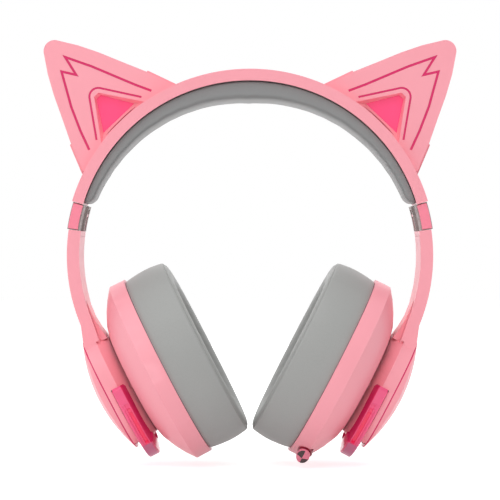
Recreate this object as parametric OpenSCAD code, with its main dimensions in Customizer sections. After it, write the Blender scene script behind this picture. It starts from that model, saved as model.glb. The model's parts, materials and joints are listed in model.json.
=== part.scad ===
// Over-ear gaming headset with cat ears, lit lines and a pull-out microphone.
// Millimetres. The origin is the lowest point of the headband pad's crown, +Z is up,
// the wearer faces -Y and the wearer's left side is +X.
// Each side is drawn once, on +X, and the other one is its mirror image.

/* [Headband] */
// Outer radius of the headband's arc
band_r = 87.1; // [80:0.1:106]
// Radial thickness of the headband's front face
band_t = 5.3; // [4.6:0.1:8]
// Front to back depth of the headband at the crown
band_depth = 36; // [32:0.5:44]
// Front to back depth of the headband at its ends
band_end_depth = 28; // [27.5:0.5:34]
// Angle above the horizontal at which the headband ends
band_end = 17; // [12:0.5:24]
// Wall of the headband's outer shell
band_wall = 1.8; // [1.2:0.1:2.2]
// Thickness of the liner that closes the headband's channel
liner_t = 1.0; // [0.8:0.1:1.2]
// Thickness of the spring steel strip
spring_t = 0.7; // [0.4:0.1:0.8]
// Width of the spring steel strip
spring_w = 14; // [8:1:18]
// Thickness of the pad at the crown
pad_crown_t = 9.1; // [5:0.1:14]
// Thickness of the pad at its ends
pad_end_t = 4.1; // [3:0.1:8]

/* [Ears] */
// Angle above the horizontal of each ear's middle line
ear_angle = 46.3; // [42:0.1:52]
// Height of an ear above the headband
ear_h = 50.9; // [42:0.1:62]
// Half width of an ear where it meets the headband
ear_half_w = 29.6; // [26:0.1:32]
// Radius of the ear's tip
ear_tip_r = 5.2; // [3:0.1:6]
// How far the ear's front face stands before the middle plane
ear_front = 11; // [9:0.5:13]
// How far the ear's back face stands behind the middle plane
ear_back = 8; // [6:0.5:13]
// Wall of the ear's shells
ear_wall = 1.8; // [1.4:0.1:2.4]
// Depth of the lens pocket in the ear's front face
pocket_depth = 4; // [2:0.1:5]
// Width of the outer lit line
line_w = 1.1; // [0.5:0.05:1.4]

/* [Slider and hinge] */
// Travel of the size slider on each side
slide_travel = 18; // [10:1:20]
// Length of slider strip that stays in the headband when drawn out
slide_hold = 7; // [5:0.5:9]
// Width of the slider strip
strip_w = 12; // [8:0.5:14]
// Thickness of the slider strip
strip_t = 1.0; // [0.8:0.1:1.1]
// Angle that the hinge block spans on the arc
block_angle = 8.7; // [8:0.1:12]
// Radius of the fold pin
fold_pin_r = 0.7; // [0.6:0.1:0.9]

/* [Arm and cap] */
// Radial thickness of the arm
arm_t = 5.8; // [5.2:0.1:8]
// Front to back depth of the arm
arm_depth = 26.8; // [24:0.1:27]
// Wall of the arm's shell
arm_wall = 1.6; // [1.2:0.1:2]
// Angle below the horizontal to which the arm follows the arc
arm_sweep = 22.6; // [18:0.1:28]
// Half length of the cap behind the cup
cap_half_l = 28; // [26:0.1:33.6]
// Half width of the cap
cap_half_w = 20.5; // [19:0.1:24.6]
// Height of the dome above its seam
dome_h = 5.7; // [4:0.1:8]
// Reach of the light module beyond the cap's lower end
module_reach = 7.2; // [5:0.1:9]

/* [Cup] */
// Half height of the cup
cup_half_l = 45.5; // [41:0.1:54.6]
// Half depth of the cup, front to back
cup_half_w = 39; // [36:0.1:46.8]
// Depth of the cup's shell from its seam to its back
cup_depth = 18; // [18:0.1:21.6]
// Wall of the cup's shell
cup_wall = 1.8; // [1.4:0.1:2.2]
// Lean of the cups, which face inward and up
cup_tilt = 27.3; // [20:0.1:32]
// Drop of the cup's middle below the middle of the headband's arc
cup_drop = 51.9; // [48:0.1:62]
// Gap between the two cushions where they come nearest
cushion_gap = 1.9; // [1:0.1:8]
// Thickness of the ear cushions
cushion_t = 21.2; // [16:0.1:25.4]
// Half height of the ear opening in a cushion
ear_hole_l = 27; // [22:0.1:30]
// Half width of the ear opening in a cushion
ear_hole_w = 21; // [20.8:0.1:25]
// Radius of the speaker driver
driver_r = 20; // [15:0.5:20]

/* [Gimbal] */
// Radius of both gimbal pins
pin_r = 1.5; // [1:0.1:1.7]
// Radial clearance of a pin in the part that turns on it
pin_clearance = 0.06; // [0.02:0.01:0.1]

/* [Microphone] */
// Radius of the microphone's boom
mic_r = 2.6; // [2:0.1:2.7]
// Length of the boom inside the cup when pushed in
mic_inside = 44; // [40:1:46]
// Length of the boom that stands out of the cup when pushed in
mic_outside = 8; // [5:0.5:12]
// Angle of the boom's place round the cup, from its bottom towards the front
mic_place = 27.4; // [22:0.1:32]

/* [Controls and sockets] */
// Travel of the two push buttons
button_travel = 0.8; // [0.4:0.1:1]
// Half length of the power and mode buttons
button_half_l = 3.6; // [3:0.1:4.2]
// Half length of the volume rocker
rocker_half_l = 8; // [6:0.1:8.6]
// Radius of the audio socket's bore
socket_r = 1.78; // [1.75:0.01:1.85]
// Depth of the audio socket's bore
socket_depth = 14; // [12:0.5:14]

/* [Hidden] */
$fn = 96;
far = 400;

// Colours
pink = "#ffa9b4";
pink_deep = "#ff8fa5";
magenta = "#dc1a68";
lens_pink = "#ff5088";
grey = "#a9aaa8";
grey_dark = "#8a8886";
steel = "#b9bcc0";
black = "#2b2b2e";
board_green = "#2f6b4a";

// Clearances
seam = 0.1;
slide_clearance = 0.2;

// Headband
band_in_r = band_r - band_t;
arc_z = -(band_in_r - pad_crown_t);
end_wall = 1.2;
channel_in_r = band_in_r + liner_t;
channel_out_r = band_r - band_wall;
spring_end = 10;
pad_gap = 0.1;
pad_side = 2.6;
pad_round = 3.5;
screw_angles = [48, 74, 106, 132];
screw_y = 10.4;
screw_r = 1;
screw_head_r = 1.7;
screw_head_t = 0.65;
boss_r = 2.4;

// Slider: a straight strip whose middle touches a circle about the arc's centre
strip_engaged = slide_travel + slide_hold;
strip_mid_r = channel_in_r + slide_clearance + strip_t / 2;
slide_angle = band_end + atan(strip_engaged / 2 / strip_mid_r);
strip_in_block = 3.4;

// Hinge block
block_gap = 0.08;
block_top = band_end - block_gap;
block_bottom = block_top - block_angle + block_gap;
block_in_r = band_in_r - 0.8;
block_out_r = band_r - 0.5;
trim_t = 0.9;
core_half = arm_depth / 2 - trim_t;
lug_in_r = band_in_r - 2;
fold_pin_at = [band_in_r - 0.6, block_top - 3.1];
knuckle_r = 1.3;
lug_front = [0, 2.4];
lug_back = [9.3, 12.4];

// Arm
arm_top = block_bottom - block_gap;
arm_out_r = band_r - 1.3;
arm_in_r = arm_out_r - arm_t;
arm_cover_t = 1.4;
// The web's inner side, up from the neck, and the angle over which it leaves the arm
web = [[0.6, 0.4], [5.6, 1.3], [11.2, 1.7]];
web_sweep = 7.2;
web_corner = 8;

// Cap, in the cup's frame: +X down the cup, +Z outward from its seam
neck_w = cup_depth + 0.8;
rim_w = neck_w + 5.5;
seam_w = rim_w + 6;
accent_t = 0.6;
dome_w = seam_w + accent_t;
cap_power = 2.6;
neck_half_l = cap_half_l - 2.8;
neck_half_w = cap_half_w - 7.5;
opening_gap = 1.4;
opening_gap_w = 3;
module_w = [neck_w + 2.4, neck_w + 9];
module_out = 1.8;
module_in = 1.8;
module_top = -2;

// Cup
cushion_corner = [cup_half_l - 1.9, cushion_t - 1];
cup_x = cushion_gap / 2 + sin(cup_tilt) * cushion_corner[0] + cos(cup_tilt) * cushion_corner[1];
cup_z = arc_z - cup_drop;
// Each level of the cup's shell: distance from the seam, and how much narrower it is
cup_levels = [
    [0, 0.1], [cup_depth - 10.4, 0], [cup_depth - 6.8, 4.7], [cup_depth - 3.9, 9.4],
    [cup_depth - 1, 15.5], [cup_depth, 19.5]
];
// Each level of the cushion: distance from the seam, and how much narrower it is
cushion_levels = [
    [0.1, 1.6], [cushion_t * 0.4, 0.6], [cushion_t - 5, 0.8], [cushion_t - 1, 1.9], [cushion_t, 5]
];
oval_power = 2.1;
baffle_w = [0.1, 1.6];
driver_back = 2.4;
magnet_back = 2.9;
magnet_r = 9.5;
cloth_w = [0.9, 1.6];

// Gimbal: the tilt pin runs front to back, the swivel pin runs down the cup
tilt_w = neck_w - 0.4;
swivel_w = cup_depth - 5.4;
gimbal_half = [4.6, 6.8];
lug_thick = 5.2;
lug_gap = 0.4;
swivel_boss = [neck_half_l + opening_gap + 0.5, neck_half_l + opening_gap + 4.4];

// Microphone
mic_w = 6.2;
mic_exit = [cup_half_l * cos(mic_place), -cup_half_w * sin(mic_place)];
mic_turn = -36.9;
guide_r = 3.6;
guide_in = 18;
guide_out = 1.2;

// Controls on the back edge of the left cup
control_w = 4.3;
control_half_w = 1.5;
control_proud = 0.8;
control_gap = 0.15;
flange = 0.8;
board_y = 28.6;
board_t = 1;
switch_h = 1.35;
power_s = 13.6;
mode_s = -17;
rocker_s = -2.4;
rocker_gap = 0.4;
rocker_in_y = 33.5;
rocker_pivot_y = 34.9;
rocker_pin_r = 0.8;
rocker_stem_s = 5;
cheek = [1.65, 2.35];

// Sockets at the bottom of the left cup
usb_y = 7;
usb_size = [8.9, 3.2];
usb_len = 7;
usb_w = 4.2;
jack_place = 35;
jack_turn = 39.3;
jack_r = 3;
jack_w = 6;

// ---- shapes ----

function polar(r, a) = [r * cos(a), r * sin(a)];
function arc(r, a0, a1, n = 24) = [for (i = [0:n]) polar(r, a0 + (a1 - a0) * i / n)];
function signed_power(v, p) = sign(v) * pow(abs(v), p);
// Superellipse with half axes a and b
function oval(a, b, p, n = 72) =
    [for (i = [0:n - 1]) let (t = 360 * i / n)
        [a * signed_power(cos(t), 2 / p), b * signed_power(sin(t), 2 / p)]];
// A point of the cup's frame, seen from the front, about the middle of the headband's arc
function cup_pt(s, w) = [
    cup_x - sin(cup_tilt) * s + cos(cup_tilt) * w,
    -cup_drop - cos(cup_tilt) * s - sin(cup_tilt) * w
];

module left() children();
module right() mirror([1, 0, 0]) children();

// A front view drawn in X and Z, as thick as depth from front to back
module slab(depth) rotate([90, 0, 0]) linear_extrude(depth, center = true) children();

// A front view between two distances behind the middle plane
module slab_between(y0, y1) translate([0, (y0 + y1) / 2, 0]) slab(y1 - y0) children();

module at_arc() translate([0, 0, arc_z]) children();

// +Z along the arc's radius at angle a, at distance r from its centre
module on_radius(a, r) at_arc() rotate([0, 90 - a, 0]) translate([0, 0, r]) children();

module at_cup() translate([cup_x, 0, cup_z]) rotate([0, 90 + cup_tilt, 0]) children();

module ring_sector(r0, r1, a0, a1) intersection() {
    difference() {
        circle(r1);
        circle(r0);
    }
    polygon(concat([[0, 0]], arc(2 * r1, a0, a1, 4)));
}

// The convex body through ovals at several distances from the seam
module lofted(levels, inset, side) hull() for (l = levels)
    translate([0, 0, side * l[0]]) linear_extrude(0.01)
        polygon(oval(cup_half_l - l[1] - inset, cup_half_w - l[1] * 0.86 - inset, oval_power));

// ---- headband ----

// Front and back faces of the headband, seen from the side
module band_window(inset) {
    top = arc_z + band_r;
    end = arc_z + band_r * sin(band_end);
    half = band_depth / 2 - inset;
    half_end = band_end_depth / 2 - inset;
    rotate([90, 0, 90]) linear_extrude(far, center = true)
        polygon([
            [-half, top + 1], [half, top + 1], [half, top], [half_end, end],
            [half_end, end - far], [-half_end, end - far], [-half_end, end], [-half, top]
        ]);
}

module slider_path(up, down, t) rotate(slide_angle) translate([strip_mid_r - t / 2, -down])
    square([t, down + up]);

module screw_places() for (i = [0:3]) translate([0, i % 2 == 0 ? screw_y : -screw_y, 0])
    on_radius(screw_angles[i], 0) children();

module ear_pegs(r, from, to) for (m = [-8, 8]) translate([0, -1.5, 0]) on_radius(ear_angle + m, from)
    cylinder(r = r, h = to - from);

module headband_shell() color(pink) difference() {
    union() {
        difference() {
            intersection() {
                at_arc() slab(band_depth + 2) ring_sector(band_in_r, band_r, band_end, 180 - band_end);
                band_window(0);
            }
            intersection() {
                at_arc() slab(band_depth) ring_sector(band_in_r - 1, channel_out_r,
                    band_end + end_wall, 180 - band_end - end_wall);
                band_window(band_wall);
            }
        }
        screw_places() translate([0, 0, channel_in_r + 0.05])
            cylinder(r = boss_r, h = channel_out_r - channel_in_r);
    }
    screw_places() cylinder(r = screw_r + 0.05, h = channel_out_r - 0.2);
    for (m = [0, 1]) mirror([m, 0, 0]) {
        at_arc() slab(strip_w + 2 * slide_clearance)
            slider_path(strip_engaged / 2 + 1, strip_engaged / 2 + 3, strip_t + 2 * slide_clearance);
        ear_pegs(2.1, channel_out_r - 1, band_r + 1);
    }
}

module headband_liner() color(grey_dark) difference() {
    intersection() {
        at_arc() slab(band_depth) ring_sector(band_in_r, channel_in_r,
            band_end + end_wall + 0.1, 180 - band_end - end_wall - 0.1);
        band_window(band_wall + seam);
    }
    screw_places() {
        cylinder(r = screw_r + 0.05, h = channel_in_r + 1);
        cylinder(r = screw_head_r + 0.05, h = band_in_r + screw_head_t + 0.1);
    }
}

module headband_spring() color(steel) at_arc() slab(spring_w) ring_sector(channel_out_r - seam - spring_t,
    channel_out_r - seam, slide_angle + spring_end, 180 - slide_angle - spring_end);

module headband_screws() color(steel) screw_places() {
    translate([0, 0, band_in_r + 0.05]) cylinder(r = screw_head_r, h = screw_head_t);
    translate([0, 0, band_in_r + 0.05]) cylinder(r = screw_r, h = channel_out_r - band_in_r - 0.4);
}

// The pad thins evenly from its crown and ends in a quarter round
module headband_pad() {
    span = 90 - band_end - 0.5;
    out_r = band_in_r - pad_gap;
    function end_round(a) = sqrt(1 - pow(max(0, (a - span + pad_round) / pad_round), 2));
    function in_r(a) = out_r - (pad_crown_t - pad_gap - (pad_crown_t - pad_end_t) * a / span) * end_round(a);
    color(grey) intersection() {
        at_arc() slab(band_depth) polygon(concat(
            arc(out_r, 90 - span, 90 + span, 64),
            [for (i = [-64:64]) let (a = -i / 64 * span) polar(in_r(abs(a)), 90 + a)]
        ));
        band_window(pad_side);
    }
}

// ---- ears ----

// Along the ear's middle line, from the arc's centre, with half widths
ear_u0 = band_r - 4.5;
ear_u1 = ear_u0 + ear_h + 4.5;
ear_sides = [[0, 1], [0.247, 0.824], [0.46, 0.642], [0.639, 0.493], [0.805, 0.331]];
// Light module, lens and lines in the ear, as distances from the arc's surface
lens_floor = [2.6, 16.1, 9.8];
lens_rim = [-1, 17.4, 14.2];
zigzag = [[0.8, 20], [8.2, 16.4], [20, 11.3], [28.5, 7.6], [40.3, 1.6], [30.6, -0.4], [36.5, -4.3],
    [21.5, -12.4], [10.3, -17.1], [0.9, -20.3]];
arch_w = 0.9;
arch_at = [1.9, 14.6];
arch_top = [20.2, 4.2];

function ear_shape(g) = let (
    h = ear_u1 - ear_u0,
    tip = [for (p = arc(ear_tip_r + g, -62, 62, 10)) [ear_u1 - ear_tip_r + p[0], p[1]]]
) concat(
    [for (p = ear_sides) [ear_u0 + p[0] * h, -ear_half_w * p[1] - g]],
    tip,
    [for (i = [4:-1:0]) let (p = ear_sides[i]) [ear_u0 + p[0] * h, ear_half_w * p[1] + g]]
);

function ear_triangle(t, g) = [
    [band_r + t[0] - g, -t[2] - g], [band_r + t[1] + g, -1.4],
    [band_r + t[1] + g, 1.4], [band_r + t[0] - g, t[2] + g]
];

module at_ear() at_arc() rotate([0, -ear_angle, 0]) children();

module saddle_space(gap, y0, y1) slab_between(y0, y1) circle(band_r + gap);

function unit(v) = v / norm(v);
function normal(a, b) = let (d = unit(b - a)) [-d[1], d[0]];
// One side of a line through points, half a width away, with mitred corners
function line_side(points, half) = [for (i = [0:len(points) - 1]) let (
    a = normal(points[max(i - 1, 0)], points[max(i, 1)]),
    b = normal(points[min(i, len(points) - 2)], points[min(i + 1, len(points) - 1)])
) points[i] + (a + b) * half / (1 + a * b)];
function reverse(list) = [for (i = [len(list) - 1:-1:0]) list[i]];

module stroke(points, w) polygon(concat(line_side(points, w / 2), reverse(line_side(points, -w / 2))));

module ear_line_shapes(grow) translate([band_r, 0]) {
    stroke(zigzag, line_w + grow);
    stroke(concat(
        [[arch_at[0], -arch_at[1]]],
        [for (p = arc(arch_top[1], -52, 52, 8)) [arch_top[0] - arch_top[1] + p[0], p[1]]],
        [[arch_at[0], arch_at[1]]]
    ), arch_w + grow);
}

module lens_pocket(grow) hull() {
    slab_between(-ear_front - 0.2, -ear_front) polygon(ear_triangle(lens_rim, grow));
    slab_between(-ear_front + pocket_depth - 0.1, -ear_front + pocket_depth)
        polygon(ear_triangle(lens_floor, grow));
}

ear_split = -2;

module ear_front() color(pink) at_ear() difference() {
    union() {
        difference() {
            slab_between(-ear_front, ear_split) polygon(ear_shape(0));
            slab_between(-ear_front + ear_wall, ear_split + 1) polygon(ear_shape(-ear_wall));
        }
        intersection() {
            lens_pocket(1.2);
            slab_between(-ear_front, 0) circle(far);
        }
        slab_between(-ear_front + pocket_depth, -ear_front + pocket_depth + 1.4)
            polygon(ear_triangle(lens_floor, 1.8));
    }
    lens_pocket(0);
    slab_between(-ear_front + pocket_depth - 0.2, -ear_front + pocket_depth + 3)
        polygon(ear_triangle(lens_floor, 0.7));
    slab_between(-ear_front - 1, -ear_front + 1.05) ear_line_shapes(0.06);
    saddle_space(seam, -far, far);
    saddle_space(1.3, -9.1, 6.1);
}

module ear_back_body(inset) hull() {
    slab_between(ear_split, ear_back - 4 - inset) polygon(ear_shape(-inset));
    slab_between(ear_split, ear_back - inset) polygon(ear_shape(-4 - inset));
}

module ear_back() color(pink) at_ear() difference() {
    union() {
        difference() {
            ear_back_body(0);
            translate([0, -0.01, 0]) ear_back_body(ear_wall);
        }
        for (p = board_posts) translate([p[0], 0, p[1]]) rotate([-90, 0, 0])
            translate([0, 0, ear_board_y + 1 + 0.05]) cylinder(r = 1.6, h = ear_back - ear_board_y - 2);
    }
    saddle_space(seam, -far, far);
    saddle_space(1.3, -9.1, 6.1);
}

ear_board_y = -ear_front + pocket_depth + 2.7;
board_posts = [[band_r + 8, -6], [band_r + 8, 6], [band_r + 19, 0]];

module ear_base() color(pink) at_ear() {
    difference() {
        intersection() {
            slab_between(-7.5, 4) polygon(ear_shape(1));
            slab_between(-far, far) translate([band_r, 0]) square([18.4, far], center = true);
        }
        slab_between(-far, far) difference() {
            polygon(ear_shape(0.08));
            circle(band_r + 1.2);
        }
        saddle_space(0.05, -far, far);
    }
    rotate([0, ear_angle, 0]) translate([0, 0, -arc_z]) ear_pegs(2, channel_out_r + 0.1, band_r + 0.6);
}

module ear_lens() color(lens_pink) at_ear()
    slab_between(-ear_front + pocket_depth, -ear_front + pocket_depth + 1.2) polygon(ear_triangle(lens_floor, 0.6));

module ear_lines() color(magenta) at_ear() slab_between(-ear_front, -ear_front + 1) ear_line_shapes(0);

module ear_board() color(board_green) at_ear() {
    slab_between(ear_board_y, ear_board_y + 1) polygon([
        [band_r + 3, -11], [band_r + 14, -7], [band_r + 22, -3],
        [band_r + 22, 3], [band_r + 14, 7], [band_r + 3, 11]
    ]);
    for (u = [5, 10, 15]) slab_between(ear_board_y - 1.2, ear_board_y) translate([band_r + u, 0])
        square([2.4, 2.8], center = true);
}

// ---- slider and hinge ----

module slider_strip() color(steel) at_arc() slab(strip_w) slider_path(
    strip_engaged / 2, strip_engaged / 2 + strip_in_block, strip_t);

module fold_axis(y0, y1, r) at_arc() rotate([0, -fold_pin_at[1], 0]) translate([fold_pin_at[0], y1, 0])
    rotate([90, 0, 0]) cylinder(r = r, h = y1 - y0, $fn = 48);

module hinge_block() color(grey_dark) difference() {
    // The back half is thicker, and holds the fold pin
    union() {
        at_arc() slab_between(-core_half, lug_front[0])
            ring_sector(block_in_r, block_out_r, block_bottom, block_top);
        at_arc() slab_between(lug_front[0], core_half)
            ring_sector(lug_in_r, block_out_r, block_bottom, block_top);
    }
    at_arc() slab_between(lug_front[1] + seam, lug_back[0] - seam)
        ring_sector(lug_in_r - 5, fold_pin_at[0] + knuckle_r + 0.2, block_bottom - 2, fold_pin_at[1] + 2);
    at_arc() slab(strip_w + seam) slider_path(0, strip_engaged / 2 + strip_in_block + 0.05, strip_t + seam);
    fold_axis(lug_front[0] + 0.5, lug_back[1] - 0.6, fold_pin_r);
}

module hinge_trim() color(pink_deep) for (side = [-1, 1]) at_arc()
    translate([0, side * (core_half + trim_t / 2), 0]) slab(trim_t)
        ring_sector(block_in_r + 0.6, block_out_r - 0.35, block_bottom + 0.3, block_top - 0.3);

module fold_pin() color(black) fold_axis(lug_front[0] + 0.6, lug_back[1] - 0.7, fold_pin_r);

// ---- arm and cap ----

// Front view of the arm and the cap's wall, about the middle of the arc
function arm_outline(inset, reach) = concat(
    arc(arm_out_r - inset, arm_top - inset, -arm_sweep, 16),
    [
        cup_pt(-cap_half_l + 1.5 + inset, seam_w + reach), cup_pt(cap_half_l - 1 - inset, seam_w + reach),
        cup_pt(cap_half_l - 0.5 - inset, rim_w - reach), cup_pt(-cap_half_l + 2.6 + inset, rim_w - reach),
        cup_pt(-cap_half_l + 2.6 + inset, rim_w - 1.6 - reach)
    ],
    arc(arm_in_r - reach, -arm_sweep, arm_top - inset, 16)
);

module cap_window(inset) at_cup() linear_extrude(far, center = true)
    polygon(oval(cap_half_l - inset, cap_half_w - inset, cap_power));

module arm_window(inset) at_arc() translate([0, 0, 2]) cube([far, arm_depth - 2 * inset, far], center = true);

module light_space(grow) at_cup() intersection() {
    translate([0, 0, module_w[0] - grow]) linear_extrude(module_w[1] - module_w[0] + 2 * grow) difference() {
        polygon(oval(cap_half_l + module_reach + grow, cap_half_w + module_out + grow, 2.2));
        polygon(oval(cap_half_l - module_in - grow, cap_half_w - module_in - grow, cap_power));
    }
    translate([module_top - grow, -far / 2, 0]) cube([far, far, far]);
}

module arm_shell() color(pink) {
    difference() {
        intersection() {
            at_arc() slab(far) polygon(arm_outline(0, 0));
            union() {
                cap_window(0);
                arm_window(0);
            }
            union() {
                cap_window(0);
                at_cup() translate([-cap_half_l + 8 - far / 2, 0, 0]) cube(far, center = true);
            }
        }
        intersection() {
            at_arc() slab(far) polygon(arm_outline(arm_wall, 12));
            union() {
                cap_window(arm_wall);
                intersection() {
                    arm_window(arm_wall);
                    at_arc() slab(far) polygon(arm_outline(arm_wall, 0.8));
                }
            }
        }
        light_space(seam);
        at_cup() translate([0, 0, seam_w - 1 - seam]) linear_extrude(20)
            polygon(oval(cap_half_l - arm_wall, cap_half_w - arm_wall, cap_power));
    }
    // The tongue that the fold pin holds, inside the hinge block's slot
    difference() {
        union() {
            at_arc() slab_between(lug_front[1] + 0.2, lug_back[0] - 0.2)
                ring_sector(arm_in_r + 0.3, arm_in_r + 1.4, arm_top - 0.8, fold_pin_at[1] - 0.75);
            fold_axis(lug_front[1] + 0.2, lug_back[0] - 0.2, knuckle_r);
        }
        fold_axis(0, lug_back[1], fold_pin_r + pin_clearance);
    }
}

module tilt_lugs(thick, gap) for (m = [-1, 1])
    translate([0, m * (gimbal_half[1] + gap + thick / 2), 0]) rotate([90, 0, 0]) {
        translate([0, tilt_w, 0]) cylinder(r = 2.8, h = thick, center = true, $fn = 48);
        translate([0, tilt_w + 2.5, 0]) cube([5.6, 5, thick], center = true);
    }

module neck_body(inset) hull() {
    translate([0, 0, rim_w - 0.01]) linear_extrude(0.01)
        polygon(oval(cap_half_l - inset, cap_half_w - inset, cap_power));
    translate([0, 0, neck_w + inset]) linear_extrude(0.01)
        polygon(oval(neck_half_l - inset, neck_half_w - inset, cap_power));
}

module arm_cover() color(pink) {
    at_arc() slab(arm_depth - 2 * arm_wall - 2 * seam) polygon(concat(
        arc(arm_in_r + arm_cover_t, arm_top - arm_wall - seam, -arm_sweep, 16),
        [cup_pt(-cap_half_l + 4, rim_w), cup_pt(-cap_half_l + 4, rim_w - 1.6)],
        arc(arm_in_r, -arm_sweep, arm_top - arm_wall - seam, 16)
    ));
    // The web that widens the arm's inner side down to the neck
    at_arc() slab(2 * neck_half_w - web_corner) polygon(concat(
        arc(arm_in_r - seam, -arm_sweep + web_sweep, -arm_sweep, 8),
        [
            cup_pt(-cap_half_l + 2.4, rim_w - 1.8), cup_pt(-neck_half_l + 0.6, rim_w - 3),
            cup_pt(-neck_half_l + 0.6, neck_w + web[0][1])
        ],
        [for (p = web) cup_pt(-neck_half_l - p[0], neck_w + p[1])]
    ));
    difference() {
        at_cup() difference() {
            union() {
                difference() {
                    neck_body(0);
                    translate([0, 0, 0.01]) neck_body(arm_wall);
                }
                intersection() {
                    tilt_lugs(lug_thick, lug_gap);
                    translate([0, 0, rim_w - 10]) cylinder(r = far, h = 20);
                }
                for (x = [-1, 1], y = [-1, 1]) translate([x * 14, y * 8, neck_w + arm_wall / 2])
                    cylinder(r = 1.8, h = seam_w - neck_w - 3);
            }
            translate([0, 0, neck_w]) cube([15, 2 * gimbal_half[1] + 0.8, 8], center = true);
            translate([0, 0, tilt_w]) rotate([90, 0, 0])
                cylinder(r = pin_r + pin_clearance, h = 60, center = true);
        }
        light_space(seam);
    }
}

module cap_dome() {
    half = cap_half_l;
    ball_r = (half * half + dome_h * dome_h) / 2 / dome_h;
    module ball(shrink) translate([0, 0, dome_w + dome_h - ball_r]) sphere(ball_r - shrink, $fn = 128);
    color(pink) at_cup() difference() {
        union() {
            intersection() {
                ball(0);
                translate([0, 0, dome_w + 0.03]) linear_extrude(20)
                    polygon(oval(cap_half_l, cap_half_w, cap_power));
            }
            translate([0, 0, seam_w - 1]) linear_extrude(accent_t + 1.4)
                polygon(oval(cap_half_l - arm_wall - seam, cap_half_w - arm_wall - seam, cap_power));
        }
        intersection() {
            ball(1.6);
            translate([0, 0, seam_w - 2]) linear_extrude(20)
                polygon(oval(cap_half_l - 2 * arm_wall, cap_half_w - 2 * arm_wall, cap_power));
        }
    }
}

module accent_line() color(magenta) at_cup() translate([0, 0, seam_w + 0.03]) linear_extrude(accent_t - 0.03)
    difference() {
        polygon(oval(cap_half_l - 0.05, cap_half_w - 0.05, cap_power));
        polygon(oval(cap_half_l - arm_wall, cap_half_w - arm_wall, cap_power));
    }

module light_module() color(lens_pink) light_space(0);

module light_board() color(board_green) at_cup() {
    translate([0, 0, seam_w - 2.1]) linear_extrude(1)
        polygon(oval(cap_half_l - 5, cap_half_w - 3.6, cap_power));
    for (x = [2, 10, 18], m = [-1, 1]) translate([x, m * (11 - x / 9), seam_w - 2.7])
        cube([3, 3, 1.2], center = true);
}

// ---- gimbal ----

module gimbal_block() color(steel) at_cup() difference() {
    translate([-gimbal_half[0], -gimbal_half[1], swivel_w - 2.4])
        cube([2 * gimbal_half[0], 2 * gimbal_half[1], tilt_w - swivel_w + 5]);
    translate([0, 0, tilt_w]) rotate([90, 0, 0]) cylinder(r = pin_r, h = 40, center = true);
    translate([0, 0, swivel_w]) rotate([0, 90, 0]) cylinder(r = pin_r, h = 40, center = true);
}

module gimbal_pins() color(grey_dark) at_cup() {
    translate([0, 0, tilt_w]) rotate([90, 0, 0])
        cylinder(r = pin_r, h = 2 * (gimbal_half[1] + lug_gap + lug_thick), center = true);
    translate([0, 0, swivel_w]) rotate([0, 90, 0])
        cylinder(r = pin_r, h = 2 * swivel_boss[1] - 0.4, center = true);
}

// ---- cup ----

// A place on the back edge of the cup: +Z towards +Y
module on_back_edge(s) translate([s, 0, control_w]) rotate([-90, 0, 0]) children();

module button_prism(half_l, half_w, y0, y1) translate([-half_l, -half_w, y0])
    cube([2 * half_l, 2 * half_w, y1 - y0]);

function edge_y(s, inset) =
    (cup_half_w - inset) * pow(1 - pow(abs(s) / (cup_half_l - inset), oval_power), 1 / oval_power);

module cup_body(inset) lofted(cup_levels, inset, 1);

module plain_cup_shell() difference() {
    union() {
        difference() {
            cup_body(0);
            translate([0, 0, -0.05]) lofted(
                [for (l = cup_levels) [max(0, l[0] - (l[0] > 1 ? cup_wall : 0)), l[1]]],
                cup_wall, 1);
        }
        // Bosses for the swivel pin
        for (m = [-1, 1]) intersection() {
            translate([m * (swivel_boss[0] + swivel_boss[1]) / 2, 0, swivel_w + 1.5])
                cube([swivel_boss[1] - swivel_boss[0], 7, 7.6], center = true);
            cup_body(0.4);
        }
    }
    translate([0, 0, cup_depth - cup_wall - 0.3]) linear_extrude(5)
        polygon(oval(neck_half_l + opening_gap, neck_half_w + opening_gap_w, cap_power));
    translate([0, 0, swivel_w]) rotate([0, 90, 0])
        cylinder(r = pin_r + pin_clearance, h = 2 * swivel_boss[1], center = true);
}

module mic_axis(from, to, r) translate([mic_exit[0], mic_exit[1], mic_w]) rotate([0, 90, mic_turn])
    translate([0, 0, from]) cylinder(r = r, h = to - from, $fn = 64);

module jack_axis(from, to, r) translate([cup_half_l * cos(jack_place), cup_half_w * sin(jack_place), jack_w])
    rotate([0, 90, jack_turn]) translate([0, 0, from]) cylinder(r = r, h = to - from, $fn = 64);

module usb_outline(grow) {
    w = usb_size[0] + grow;
    t = usb_size[1] + grow;
    square([t, w - t], center = true);
    for (m = [-1, 1]) translate([0, m * (w - t) / 2]) circle(t / 2, $fn = 48);
}

// Outline across X, extruded along the cup's length
module usb_axis(from, to, grow) translate([0, usb_y, usb_w]) rotate([0, 90, 0])
    translate([0, 0, from]) linear_extrude(to - from) usb_outline(grow);

usb_face = cup_half_l - 1.9;

module left_cup_shell() color(pink) at_cup() difference() {
    plain_cup_shell();
    mic_axis(-8, 10, guide_r + 0.05);
    jack_axis(-10, 8, jack_r + 0.05);
    usb_axis(usb_face - 10, usb_face + 5, 0.1);
    on_back_edge(power_s) button_prism(button_half_l + control_gap, control_half_w + control_gap, 30, 60);
    on_back_edge(mode_s) button_prism(button_half_l + control_gap, control_half_w + control_gap, 24, 60);
    on_back_edge(rocker_s) button_prism(rocker_half_l + rocker_gap, control_half_w + control_gap, 30, 60);
}

module right_cup_shell() color(pink) right() at_cup() plain_cup_shell();

module baffle() color(black) at_cup() translate([0, 0, baffle_w[0]]) linear_extrude(baffle_w[1] - baffle_w[0])
    difference() {
        polygon(oval(cup_half_l - cup_wall - 0.2, cup_half_w - cup_wall - 0.2, oval_power));
        circle(driver_r + 0.05);
    }

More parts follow.
